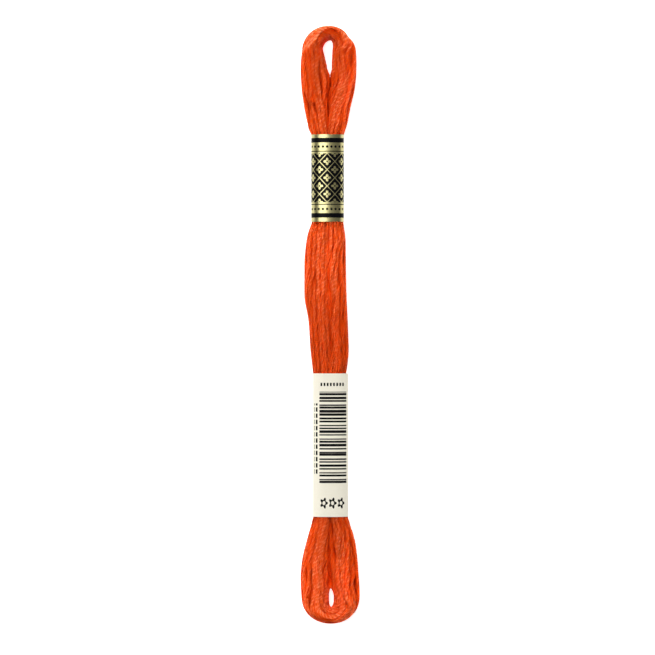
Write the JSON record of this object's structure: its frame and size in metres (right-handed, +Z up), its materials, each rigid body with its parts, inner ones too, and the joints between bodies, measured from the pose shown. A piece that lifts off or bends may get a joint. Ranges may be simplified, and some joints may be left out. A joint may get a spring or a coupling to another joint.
{
  "type": "skein of embroidery floss",
  "caption": "Pull skein of orange stranded cotton floss lying on its back: a long twisted ring with a small eye in each end loop, held by a gold foil band and a white paper band.",
  "frame": {"origin": "on the surface that the skein lies on, under the middle of its bounding box", "axes": "+Y along the skein towards the loop beside the foil band, +X to the right seen from above, +Z up from the surface"},
  "size_m": [0.0157, 0.1641, 0.0071],
  "materials": {
    "orange_floss": "mercerised cotton with a soft silky sheen",
    "gold_foil": "paper faced with satin gold foil and printed in black",
    "white_paper": "smooth uncoated off-white paper printed in black"
  },
  "bodies": {
    "root": {"floss_hank": "orange_floss", "foil_band": "gold_foil", "paper_band": "white_paper"}
  },
  "joints": []
}
